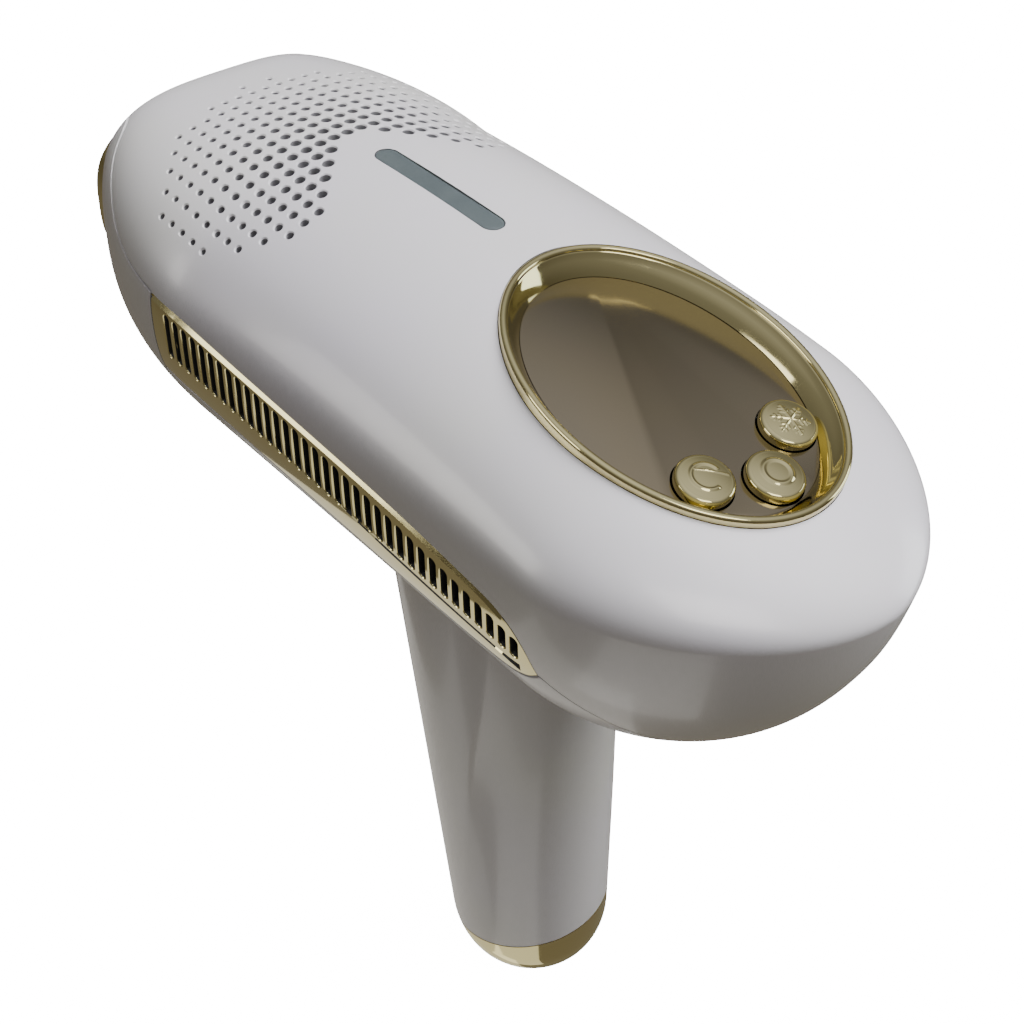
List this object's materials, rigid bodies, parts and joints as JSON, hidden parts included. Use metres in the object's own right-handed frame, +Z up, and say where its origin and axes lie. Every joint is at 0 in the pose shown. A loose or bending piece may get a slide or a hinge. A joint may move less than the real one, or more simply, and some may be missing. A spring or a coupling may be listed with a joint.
{
  "type": "ipl hair remover",
  "caption": "Pistol-grip light hair remover: pill-shaped barrel with window, fan vents and display, on a raked handle.",
  "frame": {"origin": "middle of the flat foot of the handle's end cap", "axes": "+Z up the handle, -Y towards the light window, +X to the side; the object is symmetric about x = 0"},
  "size_m": [0.0726, 0.1528, 0.1648],
  "materials": {
    "pearl_white": "pearlescent satin lacquer",
    "gold_chrome": "polished champagne gold plating",
    "smoked_glass": "smoked mirror",
    "amber_glass": "amber filter",
    "clear_glass": "polished",
    "light_pipe": "frosted",
    "black_plastic": "moulded",
    "circuit_board": "solder mask",
    "silicone_grey": "matt",
    "aluminium": "machined",
    "polished_aluminium": "bright",
    "ceramic_white": "unglazed",
    "capacitor_sleeve": "printed sleeve, blank",
    "copper_wire": "enamelled copper wire",
    "cable_red": "smooth",
    "screw_steel": "zinc plated"
  },
  "bodies": {
    "casing": {"upper_shell": "pearl_white", "lower_shell": "pearl_white", "front_cover": "pearl_white", "vent_trim_right": "gold_chrome", "vent_trim_left": "gold_chrome", "display_bezel": "gold_chrome", "display_panel": "smoked_glass", "display_module": "black_plastic", "key_board": "circuit_board", "cooling_switch": "black_plastic", "mode_switch": "black_plastic", "power_switch": "black_plastic", "indicator_bar": "light_pipe", "indicator_board": "circuit_board", "window_frame": "gold_chrome", "window_glass": "clear_glass", "window_gasket": "silicone_grey", "cold_plate": "aluminium", "filter_glass": "amber_glass", "reflector": "polished_aluminium", "flash_lamp": "clear_glass", "lamp_holder_right": "ceramic_white", "lamp_holder_left": "ceramic_white", "peltier_module": "ceramic_white", "heat_sink": "aluminium", "fan_frame": "black_plastic", "main_board": "circuit_board", "storage_capacitor_right": "capacitor_sleeve", "storage_capacitor_left": "capacitor_sleeve", "trigger_transformer": "black_plastic", "charge_coil": "copper_wire", "handle_shell": "pearl_white", "handle_end_cap": "gold_chrome", "dc_socket": "black_plastic", "trigger_switch": "black_plastic", "power_board": "circuit_board", "power_cable": "cable_red", "case_screw_1": "screw_steel", "case_screw_2": "screw_steel", "case_screw_3": "screw_steel", "case_screw_4": "screw_steel", "handle_screw_1": "screw_steel", "handle_screw_2": "screw_steel"},
    "cooling_key": {"cooling_button": "gold_chrome"},
    "mode_key": {"mode_button": "gold_chrome"},
    "power_key": {"power_button": "gold_chrome"},
    "trigger": {"flash_trigger": "gold_chrome"},
    "fan": {"fan_rotor": "black_plastic"}
  },
  "joints": [
    {"name": "cooling_press", "type": "slide", "parent": "casing", "child": "cooling_key", "axis": [0, -0.1237, -0.9923], "range_m": [0, 0.0008], "stiffness_N_per_m": 1200},
    {"name": "mode_press", "type": "slide", "parent": "casing", "child": "mode_key", "axis": [0, -0.1237, -0.9923], "range_m": [0, 0.0008], "stiffness_N_per_m": 1200},
    {"name": "power_press", "type": "slide", "parent": "casing", "child": "power_key", "axis": [0, -0.1237, -0.9923], "range_m": [0, 0.0008], "stiffness_N_per_m": 1200},
    {"name": "trigger_pull", "type": "slide", "parent": "casing", "child": "trigger", "axis": [0, 0.9627, 0.2704], "range_m": [0, 0.0012], "stiffness_N_per_m": 1500},
    {"name": "fan_spin", "type": "hinge", "parent": "casing", "child": "fan", "pos_m": [0, -0.068, 0.15], "axis": [0, 0, 1], "continuous": true}
  ]
}
